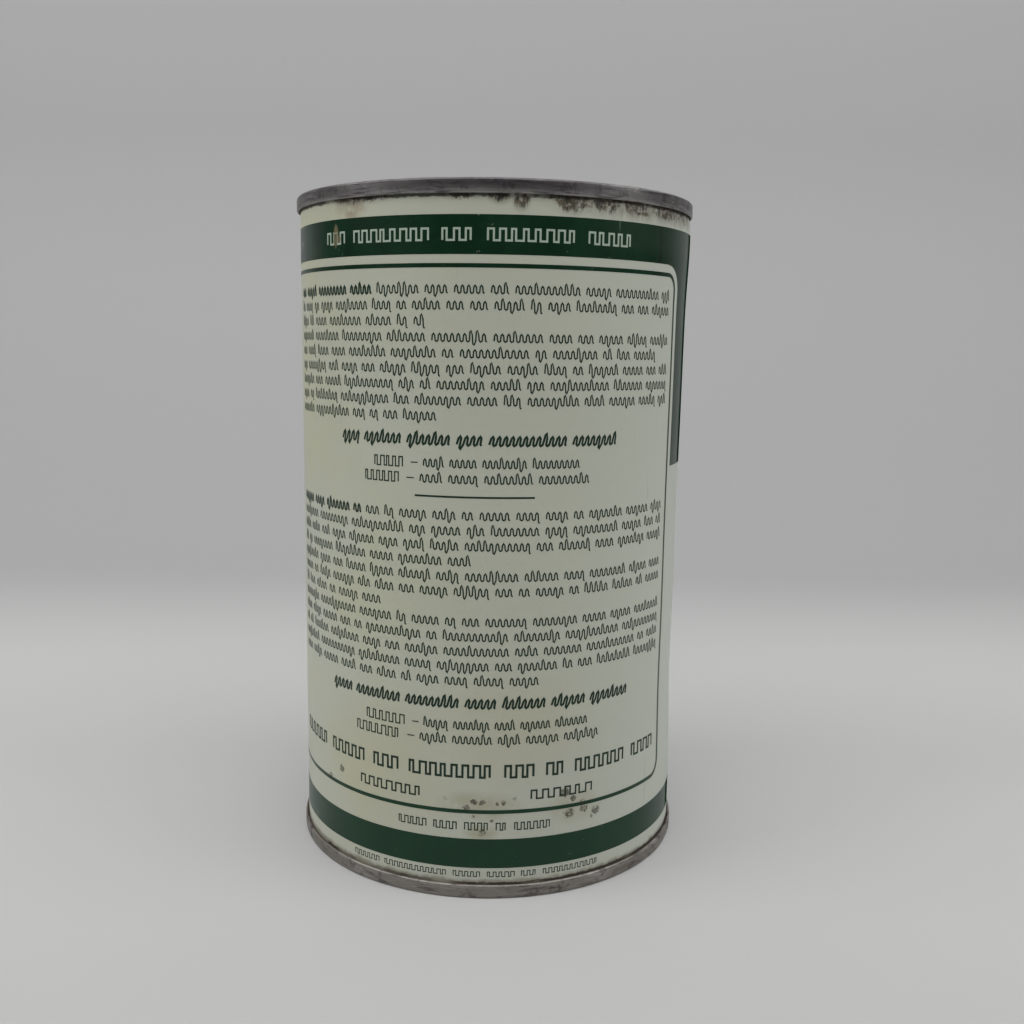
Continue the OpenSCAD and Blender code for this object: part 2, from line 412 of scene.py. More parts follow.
# rust specks near the foot: angle, height and size
SPECKS = [(-3.9, 24.3, 1.2), (-1.7, 24.1, 1.1), (4.1, 24.1, 1.1), (2.4, 23.8, 0.7), (7.1, 25.0, 0.7),
          (-5.9, 22.9, 1.3), (-11.7, 24.9, 0.8), (-1.7, 16.4, 1.5), (-4.1, 20.5, 0.8), (1.0, 19.6, 0.7),
          (21.5, 25.4, 1.9), (23.9, 23.6, 1.3), (27.1, 22.0, 1.4), (22.8, 19.9, 2.0), (27.4, 20.4, 1.6),
          (31.5, 19.3, 1.8), (30.0, 17.9, 0.9), (-47.0, 26.0, 1.5), (-53.0, 22.5, 1.2)]


def rust_masks(p):
    """Rust on the printed wall: a line under the top rim, stains, a grey veil, and specks low down."""
    top = p.math("MULTIPLY", p.math("SUBTRACT", CAN_TOP - SEAM_HEIGHT, p.z), 1 / MM)
    line = p.step(p.math("SUBTRACT", top, p.math("MULTIPLY", p.noise(330, 5.0, 0.8), 1.6)), 0.0, -0.40)
    line = p.both(line, p.step(p.noise(75, 3.0, 0.6), 0.36, 0.48))
    heavy = p.most(*[p.blob(angle, 165.4, across, tall, 0.0) for angle, across, tall in STAINS],
                   p.both(p.blob(42, 162.6, 4.2, 0.9, 0.0), 0.9),
                   p.both(p.blob(7, 162.8, 2.0, 1.4, 0.0), 0.7))
    grain = p.noise(620, 5.0, 0.8, p.stretch(1, 1, 0.38, 2.0))
    stains = p.step(p.math("MULTIPLY_ADD", heavy, 0.36, grain), 0.67, 0.84)
    stains = p.both(stains, p.step(p.noise(900, 2.0), 0.34, 0.50))
    haze = p.both(p.step(p.angle, 12, 38), p.step(p.angle, 84, 70), p.step(p.z, 159.5 * MM, 163.0 * MM))
    haze = p.both(haze, p.step(p.noise(330, 4.0, 0.7, p.stretch(1, 1, 0.3)), 0.24, 0.62))
    veil = p.both(heavy, p.step(p.noise(150, 4.0, 0.65, p.stretch(1, 1, 0.5)), 0.28, 0.62))
    veil = p.most(veil, p.both(haze, 0.85))
    spots = p.most(*[p.blob(angle, z, arc_angle(size * MM), size, 0.0) for angle, z, size in SPECKS],
                   p.both(p.blob(140, 14, 22, 6, 0.0), 0.6),
                   p.both(p.blob(-130, 18, 18, 7, 0.0), 0.6))
    flecks = p.step(p.math("MULTIPLY_ADD", spots, 0.32, p.noise(900, 4.0, 0.9)), 0.68, 0.86)
    return line, stains, veil, p.both(flecks, p.step(spots, 0.02, 0.2))


def litho_cream():
    p = Paint("litho_cream")
    base = p.mix(p.noise(14, 3.0, 0.5), CREAM, CREAM_GREY)
    yellow = p.both(p.step(p.angle, 20, -75), p.step(p.angle, -176, -130),
                    p.step(p.noise(26, 3.0, 0.6), 0.38, 0.70))
    base = p.lay(base, yellow, 0.75, CREAM_YELLOW)
    base = p.mix(p.both(p.step(p.angle, 15, 75), p.step(p.angle, 176, 130)), base, CREAM_COOL)
    stain = p.most(p.both(p.blob(-30, 30, 22, 24, 0.0), 0.6), p.both(p.blob(5, 42, 26, 16, 0.0), 0.45))
    base = p.mix(p.both(stain, p.noise(70, 3.0)), base, (0.47, 0.44, 0.27))
    grain = p.noise(1300, 2.0, 0.6)
    base = p.lay(base, p.step(grain, 0.62, 0.75), 0.20, (0.33, 0.34, 0.27))
    tea = p.both(p.blob(-41, 163.4, 6.5, 4.5, 0.0), p.step(p.noise(210, 4.0, 0.6), 0.30, 0.62))
    base = p.lay(base, tea, 0.75, RUST_PALE)
    hair = p.scratches(0.305, 420, 0.35, 4.0)
    base = p.lay(base, hair, 0.30, (0.30, 0.30, 0.25))
    line, stains, veil, flecks = rust_masks(p)
    base = p.lay(base, veil, 0.85, GRIME)
    base = p.lay(base, stains, 0.92, p.mix(p.step(p.noise(420, 3.0), 0.40, 0.62), STAIN_DARK, STAIN))
    tan = p.most(p.blob(-3, 23.2, 12, 4.5, 0.0), p.both(p.blob(25, 21.5, 9, 5, 0.0), 0.7),
                 p.blob(-2, 16.6, 5, 2.4, 0.0))
    tan = p.both(tan, p.step(p.noise(120, 4.0), 0.30, 0.6))
    base = p.lay(base, tan, 0.55, (0.31, 0.285, 0.17))
    base = p.lay(base, flecks, 0.85, p.mix(p.noise(700, 3.0), STAIN_DARK, SPECK))
    base = p.lay(base, line, 0.85, STAIN_DARK)
    ragged = p.math("MULTIPLY_ADD", p.noise(210, 4.0, 0.7), 2.6 * MM, -1.0 * MM)
    above = p.math("SUBTRACT", p.math("SUBTRACT", p.z, SEAM_HEIGHT), ragged)
    base = p.lay(base, p.step(above, 1.3 * MM, 0.2 * MM), 0.75, GRIME)
    crack = p.math("MULTIPLY_ADD", p.noise(420, 3.0, 0.7), 1.1 * MM, -0.10 * MM)
    crack = p.step(p.math("SUBTRACT", p.math("SUBTRACT", p.z, SEAM_HEIGHT), crack), 0.12 * MM, 0.0)
    crack = p.both(crack, p.step(p.noise(60, 3.0), 0.42, 0.54))
    base = p.lay(base, crack, 0.85, RUST_DARK)
    strip = p.math("ABSOLUTE", p.math("MULTIPLY", p.math("SUBTRACT", p.angle, SEAM_ANGLE),
                                      BODY_R * math.radians(1)))
    edge = p.math("MULTIPLY_ADD", p.noise(500, 2.0), 0.5 * MM, -0.25 * MM)
    bare = p.step(p.math("ADD", strip, edge), SEAM_STRIP + 0.1 * MM, SEAM_STRIP - 0.1 * MM)
    tin = p.mix(p.noise(120, 4.0, 0.6, p.stretch(1, 1, 0.25)), SEAM_TIN, TIN)
    tin = p.mix(p.step(p.noise(75, 4.0, 0.65), 0.60, 0.72), tin, RUST)
    base = p.mix(bare, base, tin)
    rusty = p.most(line, p.math("MULTIPLY", stains, 0.6), flecks, crack)
    rough = p.math("MULTIPLY_ADD", p.noise(45, 3.0), 0.16, 0.30)
    rough = p.most(rough, p.math("MULTIPLY", rusty, 0.8))
    height = p.math("MULTIPLY_ADD", p.noise(700, 3.0), 0.35, p.math("MULTIPLY", rusty, 0.6))
    return p.finish(base, rough, p.math("MULTIPLY", bare, 0.55), height, 0.035 * MM, 0.42)


def scrape(p):
    """A small upright scrape on the green band."""
    spot = p.most(p.blob(-47.3, 156.8, 1.5, 4.4, 0.0), p.blob(-46.6, 156.0, 2.6, 1.6, 0.0))
    grain = p.noise(620, 4.0, 0.7, p.stretch(1, 1, 0.5))
    return p.step(p.math("MULTIPLY_ADD", spot, 0.55, grain), 0.78, 1.02)


def litho_green():
    """Dark green ink: slightly mottled, with pale wear, fine scratches and the sheet's rust specks."""
    p = Paint("litho_green")
    base = p.mix(p.step(p.noise(95, 4.0, 0.65), 0.35, 0.75), GREEN, GREEN_PALE)
    base = p.lay(base, p.step(p.noise(1500, 2.0, 0.6), 0.60, 0.72), 0.35, GREEN_PALE)
    # painted reflection: the green is made lighter low on the can, below 40 mm and most below 16 mm, for the
    # pale floor seen in the lower band
    base = p.mix(p.both(p.step(p.z, 40 * MM, 16 * MM), 0.6), base, (0.0085, 0.046, 0.0215))
    thin = p.step(p.noise(520, 4.0, 0.7), 0.68, 0.76)
    base = p.lay(base, thin, 0.65, CREAM_GREY)
    scratch = p.most(p.scratches(0.30, 520, 0.0, 1.0), p.scratches(0.285, 380, 0.5, 7.0))
    base = p.lay(base, scratch, 0.55, (0.28, 0.33, 0.27))
    base = p.mix(scrape(p), base, p.mix(p.noise(900), (0.10, 0.085, 0.045), (0.17, 0.16, 0.09)))
    nick = p.both(p.blob(-71.5, 156.0, 0.55, 1.1), p.step(p.noise(900, 3.0), 0.40, 0.5))
    base = p.lay(base, nick, 0.6, CREAM_GREY)
    tall = p.math("ABSOLUTE", p.math("SUBTRACT", p.angle, p.math("MULTIPLY_ADD", p.noise(60), 0.5, 50.6)))
    score = p.both(p.step(tall, 1.0, 0.2), p.step(p.z, 151.0 * MM, 153.0 * MM))
    base = p.lay(base, score, 0.75, (0.002, 0.006, 0.003))
    tall = p.math("ABSOLUTE", p.math("SUBTRACT", p.angle, 34.0))
    score = p.both(p.step(tall, 0.5, 0.0), p.step(p.z, 157.4 * MM, 159.6 * MM))
    base = p.lay(base, score, 0.30, (0.20, 0.33, 0.24))
    # painted sheen: the upper half of the top band is made paler and greyer from 22 to 110 degrees, for the
    # bright surroundings seen in it
    painted_sheen = p.both(p.step(p.angle, 22, 44), p.step(p.angle, 110, 80),
                   p.step(p.z, 152.5 * MM, 156.5 * MM), 0.45)
    base = p.mix(painted_sheen, base, (0.028, 0.045, 0.030))
    flecks = rust_masks(p)[3]
    base = p.lay(base, flecks, 0.7, RUST_DARK)
    rough = p.math("MULTIPLY_ADD", p.noise(60, 3.0), 0.12, 0.24)
    rubbed = p.both(p.step(p.angle, 69.5, 73.0), p.step(p.angle, 104.0, 90.0))
    level = p.both(p.gloss(0.25, 0.30), p.math("MULTIPLY_ADD", rubbed, -1.0, 1.0))
    height = p.math("SUBTRACT", p.noise(800, 3.0), p.math("MULTIPLY", scratch, 0.5))
    return p.finish(base, rough, 0.0, height, 0.02 * MM, level)


def copy_ink():
    """Thin print on the cream: the same green, a little broken where the varnish has worn."""
    p = Paint("copy_ink")
    base = p.mix(p.noise(160, 3.0), (0.006, 0.022, 0.012), (0.010, 0.034, 0.019))
    broken = p.step(p.noise(1100, 3.0, 0.7), 0.60, 0.72)
    base = p.lay(base, broken, 0.22, (0.16, 0.18, 0.14))
    return p.finish(base, 0.42, 0.0, p.noise(900, 2.0), 0.01 * MM, 0.3)


def cream_ink():
    """Cream showing through the green band, as marks."""
    p = Paint("cream_ink")
    base = p.mix(p.noise(120, 3.0), (0.34, 0.42, 0.34), (0.42, 0.50, 0.41))
    base = p.lay(base, scrape(p), 0.7, (0.16, 0.14, 0.075))
    return p.finish(base, 0.40, 0.0, p.noise(900, 2.0), 0.01 * MM, 0.4)


def old_tin(name, z_rim, seed, tin, worn):
    """Dull tinplate of an end: streaky on the seam, darker in the recess, with rust in the corners, painted
    shade on the front of the top seam, and a painted highlight on the seam's outer wall next to the body.
    """
    p = Paint(name)
    depth = p.math("ABSOLUTE", p.math("SUBTRACT", p.z, z_rim))
    outside = p.step(p.radius, RIM_R - 0.5 * MM, RIM_R - 0.2 * MM)
    base = p.mix(p.noise(60, 4.0, 0.65, p.stretch(1, 1, 1, seed)), *tin)
    rings = p.noise(115, 5.0, 0.75, p.stretch(1, 1, 11, seed))
    base = p.lay(base, p.step(rings, 0.50, 0.66), 0.80, TIN_DARK)
    rub = p.noise(130, 5.0, 0.8, p.stretch(1, 1, 8, seed + 5))
    base = p.lay(base, p.step(rub, 0.52, 0.68), worn, TIN_WORN)
    blotch = p.step(p.noise(240, 5.0, 0.75, p.stretch(1, 1, 1, seed + 2)), 0.52, 0.64)
    base = p.lay(base, blotch, 0.60, TIN_DARK)
    crown = p.both(p.step(depth, 0.50 * MM, 0.05 * MM), p.step(p.noise(240, 3.0), 0.35, 0.6))
    base = p.lay(base, crown, 0.50, TIN_WORN)
    if seed > 0:
        # painted shade: the top seam's outer wall is darkened round the side that faces the camera
        shade = p.both(outside, p.step(p.math("ABSOLUTE", p.math("ADD", p.angle, 4.0)), 52, 18))
        shade = p.both(shade, p.step(depth, 2.7 * MM, 1.2 * MM))
        base = p.lay(base, shade, 0.55, (0.040, 0.031, 0.043))
    # painted highlight: a paler band on the seam's outer wall next to the body, strong on the top end and
    # faint on the bottom end
    painted_highlight = p.both(outside, p.step(depth, 2.2 * MM, 2.9 * MM), p.step(rings, 0.58, 0.44))
    base = p.lay(base, painted_highlight, 0.45 if seed > 0 else 0.15, TIN_WORN)
    lip = p.both(p.step(p.radius, RIM_R - 0.40 * MM, RIM_R - 0.65 * MM),
                 p.step(p.radius, BODY_R - 0.4 * MM, BODY_R),
                 p.step(depth, SEAM_HEIGHT - 0.3 * MM, SEAM_HEIGHT),
                 p.step(p.noise(260, 4.0, 0.7), 0.42, 0.56))
    base = p.lay(base, lip, 0.70, RUST_DARK)
    ditch = p.both(p.step(p.radius, CHUCK_WALL - 4.4 * MM, CHUCK_WALL - 1.2 * MM),
                   p.step(depth, 1.2 * MM, 3.2 * MM))
    ditch = p.both(ditch, p.math("SUBTRACT", 1.0, outside), p.step(p.noise(95, 5.0, 0.7), 0.36, 0.62))
    rust = p.mix(p.noise(310, 4.0), RUST_DARK, RUST)
    base = p.lay(base, ditch, 0.9, rust)
    inner = p.step(p.radius, CHUCK_WALL - 0.8 * MM, CHUCK_WALL - 3.0 * MM)
    bloom = p.both(inner, p.step(p.noise(38, 6.0, 0.72, p.stretch(1, 1, 1, seed * 40)), 0.56, 0.72))
    panel = p.both(inner, p.math("SUBTRACT", 1.0, bloom))
    base = p.lay(base, panel, 0.45, (0.27, 0.26, 0.245))
    base = p.lay(base, bloom, 0.8, rust)
    pits = p.both(p.step(p.cells(340), 0.24, 0.12), p.step(p.noise(28, 3.0), 0.50, 0.64))
    base = p.lay(base, pits, 0.7, RUST_DARK)
    scuff = p.noise(260, 3.0, 0.6, p.stretch(1, 0.06, 1, 3.0))
    base = p.mix(p.both(p.step(scuff, 0.60, 0.66), inner, 0.30), base, TIN_WORN)
    rusty = p.most(ditch, bloom, lip)
    metal = p.math("MULTIPLY_ADD", rusty, -0.60, 0.84)
    dull = p.math("MULTIPLY_ADD", p.noise(130, 3.0), 0.20, 0.34 if seed > 0 else 0.44)
    rough = p.math("MULTIPLY_ADD", rusty, 0.30, dull)
    height = p.math("ADD", p.math("MULTIPLY_ADD", rings, 0.8, p.noise(520, 4.0, 0.65)),
                    p.math("MULTIPLY", p.most(rusty, pits), 0.7))
    return p.finish(base, rough, metal, height, 0.05 * MM, 0.5)


def solder_metal():
    p = Paint("old_solder")
    base = p.mix(p.noise(210, 4.0, 0.6, p.stretch(1, 1, 0.2)), (0.47, 0.47, 0.45), (0.26, 0.26, 0.25))
    base = p.mix(p.step(p.noise(90, 4.0, 0.7), 0.60, 0.72), base, (0.16, 0.12, 0.09))
    rough = p.math("MULTIPLY_ADD", p.noise(160, 3.0), 0.25, 0.34)
    return p.finish(base, rough, 0.75, p.noise(380, 3.0), 0.04 * MM)


def lining_compound():
    p = Paint("lining_compound")
    base = p.mix(p.noise(300, 3.0), (0.075, 0.045, 0.035), (0.045, 0.030, 0.026))
    return p.finish(base, p.math("MULTIPLY_ADD", p.noise(500), 0.2, 0.6), 0.0, p.noise(700), 0.03 * MM)


def motor_oil():
    p = Paint("motor_oil")
    base = p.mix(p.noise(22, 2.0, 0.4, None, 1.5), (0.36, 0.14, 0.016), (0.28, 0.095, 0.010))
    return p.finish(base, p.math("MULTIPLY_ADD", p.noise(30), 0.04, 0.04), 0.0, p.noise(18), 0.01 * MM)


CREAM_LITHO = litho_cream()
GREEN_LITHO = litho_green()
COPY_INK = copy_ink()
CREAM_INK = cream_ink()
COMPOUND = lining_compound()


# ---------------------------------------------------------------- the sheet-metal pieces

def body_shell():
    def place(angle, r, z):
        """The curls keep their shape; the wall between them takes the dents and the seam's groove."""
        lift = r - BODY_R
        wall = smooth(BODY_PLATE, 0, lift)
        groove = seam_step(angle) * smooth(SEAM_HEIGHT, 2 * SEAM_HEIGHT, z) * wall
        groove *= smooth(SEAM_HEIGHT, 2 * SEAM_HEIGHT, CAN_TOP - z)
        out = BODY_R + wall_shift(angle, z) * wall + groove + lift
        a = math.radians(angle)
        return (out * math.sin(a), -out * math.cos(a), z)

    outline = sheet_outline(body_path(), BODY_PLATE, 2.2 * MM)
    piece = lathe("body_shell", outline, WALL_TURNS, CREAM_LITHO, place)
    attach(piece, ROOT)
    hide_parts("can_body")
    return piece


def end_shell(name, node, upside):
    """One drawn end. upside is 1 for the top and -1 for the bottom, which is the same turned over."""
    seed = Vector((3.0 * upside, 0, 0))

    def place(angle, r, z):
        a = math.radians(angle)
        around = Vector((math.sin(a), -math.cos(a), 0))
        rolled = smooth(SEAMING_WALL - 0.2 * MM, SEAMING_WALL + 0.1 * MM, r)
        r -= 0.07 * MM * rolled * (0.5 + noise.noise(around * 4.0 + seed))
        lip = smooth(-2.6 * MM, -3.2 * MM, z) * smooth(COVER_HOOK - 0.3 * MM, COVER_HOOK, r)
        z += 0.07 * MM * lip * (0.6 + noise.noise(around * 4.5 + seed))
        inner = smooth(CHUCK_WALL - 3.0 * MM, CHUCK_WALL - 9.0 * MM, r)
        z += 0.22 * MM * inner * noise.noise(Vector((around.x * r * 38, around.y * r * 38, 0)) + seed)
        height = CAN_TOP + z if upside > 0 else -z
        return (r * math.sin(a), -r * math.cos(a), height)

    outline = sheet_outline(end_path(), END_PLATE, 4 * MM)
    if upside < 0:
        outline = outline[::-1]
    if upside > 0:
        finish = old_tin(name + "_tin", CAN_TOP, 1, [(0.250, 0.243, 0.232), (0.122, 0.110, 0.117)], 0.56)
    else:
        finish = old_tin(name + "_tin", 0.0, -1, [(0.340, 0.325, 0.295), (0.200, 0.180, 0.160)], 0.78)
    piece = lathe(name, outline, END_TURNS, finish, place)
    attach(piece, ROOT)
    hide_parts(node)
    return piece


def side_seam():
    """A wavering bead of solder over the lock's groove, thinning out to each side."""
    rows, columns = 150, 14
    low, high = SEAM_HEIGHT + 1.0 * MM, CAN_TOP - SEAM_HEIGHT - 1.0 * MM
    half = 2.4 * MM
    points, faces = [], []

    def add(face_lift):
        for j in range(rows + 1):
            z = low + (high - low) * j / rows
            wander = 0.35 * MM * noise.noise(Vector((0, 3, z * 60)))
            width = half * (0.82 + 0.30 * noise.noise(Vector((2, 0, z * 95))))
            for i in range(columns + 1):
                t = 2 * i / columns - 1
                across = wander + width * t
                angle = SEAM_ANGLE + arc_angle(across)
                bead = 0.16 * MM * (1 - t * t) * (1 + 0.5 * noise.noise(Vector((t, 9, z * 130))))
                lift = bead + 0.02 * MM if face_lift else -0.22 * MM
                points.append(on_wall(angle, z, lift))

    add(True)
    add(False)
    stride = columns + 1
    back = (rows + 1) * stride
    for j in range(rows):
        for i in range(columns):
            a = j * stride + i
            faces.append((a, a + 1, a + 1 + stride, a + stride))
            faces.append((back + a + stride, back + a + 1 + stride, back + a + 1, back + a))
        for i in (0, columns):
            a, b = j * stride + i, (j + 1) * stride + i
            faces.append((a, b, back + b, back + a) if i == 0 else (b, a, back + a, back + b))
    for i in range(columns):
        a, b = i, rows * stride + i
        faces.append((a + 1, a, back + a, back + a + 1))
        faces.append((b, b + 1, back + b + 1, back + b))
    piece = add_object("side_seam_bead", points, faces, solder_metal())
    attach(piece, ROOT)
    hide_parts("side_seam_solder")
    return piece


def oil_body():
    """The oil, which follows the can's dents, with a level top that climbs slightly at the wall."""
    side = BODY_R - BODY_PLATE - OIL_GAP
    soft = 1.2 * MM

    def place(angle, r, z):
        a = math.radians(angle)
        out = r + wall_shift(angle, z) * smooth(0.6 * side, side, r)
        return (out * math.sin(a), -out * math.cos(a), z)

    low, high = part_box("oil_fill")[0].z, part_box("oil_fill")[1].z
    outline = [Vector((0, low)), Vector((0.5 * side, low)), Vector((side - soft, low))]
    outline += [Vector((side, low + soft + (high - low - soft) * k / 60)) for k in range(61)]
    outline += [Vector((side - 0.5 * MM, high - 0.6 * MM)), Vector((side - 2 * MM, high - 1.2 * MM)),
                Vector((0.5 * side, high - 1.4 * MM)), Vector((0, high - 1.4 * MM))]
    piece = lathe("oil_body", outline, 192, motor_oil(), place)
    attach(piece, ROOT)
    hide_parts("oil_fill")


# ---------------------------------------------------------------- print: thin closed skins on the wall

class Print:
    """Collects thin shapes on the wall, given as rows of (angle, height) and raised by lift."""

    def __init__(self, lift=INK_LIFT):
        self.lift = lift
        self.points, self.faces = [], []

    def skin(self, rows, loop=False):
        """One closed skin over a grid. With loop, each row's last point joins its first."""
        start, wide, tall = len(self.points), len(rows[0]), len(rows)
        for lift in (self.lift, INK_ROOT):
            self.points += [on_wall(a, z, lift) for row in rows for a, z in row]
        back = wide * tall

        def at(j, i, under=0):
            return start + under * back + j * wide + i % wide

        across = wide if loop else wide - 1
        for j in range(tall - 1):
            for i in range(across):
                self.faces.append((at(j, i), at(j, i + 1), at(j + 1, i + 1), at(j + 1, i)))
                self.faces.append((at(j + 1, i, 1), at(j + 1, i + 1, 1), at(j, i + 1, 1), at(j, i, 1)))
            if not loop:
                self.faces.append((at(j, 0), at(j + 1, 0), at(j + 1, 0, 1), at(j, 0, 1)))
                self.faces.append((at(j + 1, across), at(j, across), at(j, across, 1),
                                   at(j + 1, across, 1)))
        for i in range(across):
            last = tall - 1
            self.faces.append((at(0, i + 1), at(0, i), at(0, i, 1), at(0, i + 1, 1)))
            self.faces.append((at(last, i), at(last, i + 1), at(last, i + 1, 1), at(last, i, 1)))

    def columns(self, edges, step=2.5 * MM):
        """A skin between two edges, given as (angle, low, high) columns from left to right."""
        tallest = max(high - low for _, low, high in edges)
        rows = max(1, math.ceil(tallest / step))
        shares = [j / rows for j in range(rows + 1)]
        self.skin([[(a, low + (high - low) * share) for a, low, high in edges] for share in shares])

    def block(self, left, right, low, high):
        steps = max(1, math.ceil((right - left) / 1.5))
        self.columns([(left + (right - left) * k / steps, low, high) for k in range(steps + 1)])

    def stroke(self, s0, z0, s1, z1, width):
        """A short straight stroke between two points, in metres along the wall and up it."""
        along = Vector((s1 - s0, z1 - z0)).normalized()
        side = left_of(along) * width / 2
        corner = [(s0 - side.x, z0 - side.y), (s1 - side.x, z1 - side.y),
                  (s0 + side.x, z0 + side.y), (s1 + side.x, z1 + side.y)]
        self.skin([[(arc_angle(s), z) for s, z in corner[:2]], [(arc_angle(s), z) for s, z in corner[2:]]])

    def ring(self, s, z, across, tall, width, sides):
        """An oval ring about a point."""
        rows = []
        for shrink in (width / 2, -width / 2):
            loop = []
            for k in range(sides):
                a = 2 * math.pi * k / sides
                up = (tall / 2 + shrink) * math.sin(a)
                loop.append((arc_angle(s + (across / 2 + shrink) * math.cos(a)), z + up))
            rows.append(loop)
        self.skin(rows, loop=True)

    def build(self, name, material):
        piece = add_object(name, self.points, self.faces, material, rounded=False)
        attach(piece, ROOT)
        return piece


def rounded_frame(left, right, low, high, corner, steps=10):
    """Points round a rounded rectangle on the wall, anticlockwise, as (metres along, height, normal)."""
    s0, s1 = BODY_R * math.radians(left), BODY_R * math.radians(right)
    out = []
    corners = [(s1 - corner, high - corner, 0), (s0 + corner, high - corner, 90),
               (s0 + corner, low + corner, 180), (s1 - corner, low + corner, 270)]
    for i, (cx, cz, start) in enumerate(corners):
        for k in range(steps + 1):
            a = math.radians(start + 90 * k / steps)
            outwards = Vector((math.cos(a), math.sin(a)))
            out.append((cx + corner * math.cos(a), cz + corner * math.sin(a), outwards))
        nx, nz, turn = corners[(i + 1) % 4]
        b = math.radians(turn)
        s, z, _ = out[-1]
        end = (nx + corner * math.cos(b), nz + corner * math.sin(b))
        pieces = math.ceil(math.hypot(end[0] - s, end[1] - z) / (1.5 * MM))
        for k in range(1, pieces):
            t = k / pieces
            out.append((s + (end[0] - s) * t, z + (end[1] - z) * t, Vector((math.cos(b), math.sin(b)))))
    return out


def green_print():
    """The two green bands, the front side's field and the line round the copy panel."""
    ink = Print()
    margin = arc_angle(SEAM_STRIP)
    left, right = SEAM_ANGLE + margin, SEAM_ANGLE + 360 - margin
    ink.block(left, right, *BOTTOM_BAND)
    low, high = TOP_BAND
    corner = FRAME_CORNER + PANEL_MARGIN
    edge = BODY_R * math.radians(FRAME_SIDES[1]) + PANEL_MARGIN
    middle_s, middle_z = edge - corner, FRAME_LINE[1] + PANEL_MARGIN - corner
    turn = arc_angle(middle_s)
    steps = math.ceil((turn - left) / 1.5)
    ink.columns([(left + (turn - left) * k / steps, low, high) for k in range(steps + 1)])
    curve = []
    for k in range(13):
        a = math.radians(90 * k / 12)
        curve.append((arc_angle(middle_s + corner * math.sin(a)), middle_z + corner * math.cos(a), high))
    ink.columns(curve)
    ink.block(curve[-1][0], right, FIELD_FOOT, high)
    line = rounded_frame(*FRAME_SIDES, *FRAME_LINE, FRAME_CORNER)
    half = FRAME_LINE_WIDTH / 2
    edges = [[(arc_angle(s + n.x * side), z + n.y * side) for s, z, n in line] for side in (half, -half)]
    ink.skin(edges, loop=True)
    return ink.build("green_bands", GREEN_LITHO)


# ---------------------------------------------------------------- copy, as wavy and stepped lines for words

class Style:
    """How a row is set: height and stroke in millimetres, square for a stepped line, else wavy."""

    def __init__(self, height, stroke, square=False, lean=0.0):
        self.height, self.stroke, self.square, self.lean = height, stroke, square, lean


TEXT = Style(1.75, 0.33)
TEXT_BOLD = Style(1.8, 0.50)
HEADING = Style(2.1, 0.52, lean=0.25)
GRADE = Style(2.2, 0.32, square=True)
COMPANY = Style(2.9, 0.56, square=True)
PLACE = Style(2.1, 0.42, square=True)
SMALL = Style(1.75, 0.28, square=True)
TINY = Style(1.2, 0.22, square=True)
BANNER = Style(2.5, 0.46, square=True)


def word(ink, style, s, middle, cell, count, pick):
    """One word as a line: a hump for each of its count cells. The line never closes on itself."""
    tall = style.height * MM
    foot, top = middle - tall / 2, middle + tall / 2
    line = []
    low = foot
    for k in range(count):
        left = s + (k + 0.1) * cell
        if style.square:
            wide = cell * pick.uniform(0.34, 0.62)
            line += [(left, low), (left, top), (left + wide, top), (left + wide, low)]
        else:
            peak = top + pick.choice((0, 0, 0, 0, 0, 0.42)) * tall
            line += [(left, low + 0.12 * tall), (left + 0.07 * cell, peak - 0.20 * tall),
                     (left + 0.26 * cell, peak), (left + 0.46 * cell, top - 0.20 * tall)]
            low = foot - pick.choice((0, 0, 0, 0, 0, 0, 0.40)) * tall
            line += [(left + 0.54 * cell, low + 0.15 * tall), (left + 0.74 * cell, low)]
            low = foot
    line = [Vector((x + style.lean * (z - middle), z)) for x, z in line]
    sides = []
    for i, p in enumerate(line):
        into = (p - line[i - 1]).normalized() if i else (line[1] - p).normalized()
        out = (line[i + 1] - p).normalized() if i < len(line) - 1 else into
        middle_way = left_of(into) + left_of(out)
        reach = min(2.0 / max(middle_way.length_squared, 0.5), 1.3)
        sides.append(middle_way * reach * style.stroke * MM / 2)
    ink.skin([[(arc_angle(q.x), q.y) for q in (p - n for p, n in zip(line, sides))],
              [(arc_angle(q.x), q.y) for q in (p + n for p, n in zip(line, sides))]])


def row(ink, style, middle, start, end, words, pick):
    """Sets words, a list of cell counts, from one angle to another. A count of 0 is a dash."""
    gap = 0.85
    dash = 1.6
    units = sum((dash if count == 0 else count) for count in words) + gap * (len(words) - 1)
    s = BODY_R * math.radians(start)
    cell = (BODY_R * math.radians(end) - s) / units
    for count in words:
        if count == 0:
            width = style.stroke * MM * 0.8
            ink.stroke(s + 0.15 * cell, middle * MM, s + 1.45 * cell, middle * MM, width)
            s += dash * cell
        else:
            word(ink, style, s, middle * MM, cell, count, pick)
            s += count * cell
        s += gap * cell


def word_list(length, pitch, pick):
    """Random word lengths that fill a length, in millimetres, at about one mark for each pitch."""
    left = length / pitch
    words = []
    while left > 3:
        count = min(pick.choice((2, 2, 3, 3, 4, 4, 5, 5, 6, 7, 8, 9, 11)), int(left))
        words.append(count)
        left -= count + 0.85
    if left > 1.5 and words:
        words[-1] += 1
    return words


def paragraph(ink, top, pitch, ends, seed, bold_words):
    """Rows of running copy. ends holds where each row stops; the first row starts with bold words."""
    pick = random.Random(seed)
    for i, end in enumerate(ends):
        z = top - i * pitch
        words = word_list(BODY_R / MM * math.radians(end - COPY_LEFT), 1.4, pick)
        if i == 0:
            lead = words[:bold_words]
            share = (sum(lead) + 0.85 * len(lead)) / (sum(words) + 0.85 * len(words))
            split = COPY_LEFT + (end - COPY_LEFT) * share
            row(ink, TEXT_BOLD, z, COPY_LEFT, split - 1.5, lead, pick)
            row(ink, TEXT, z, split, end, words[bold_words:], pick)
        else:
            row(ink, TEXT, z, COPY_LEFT, end, words, pick)


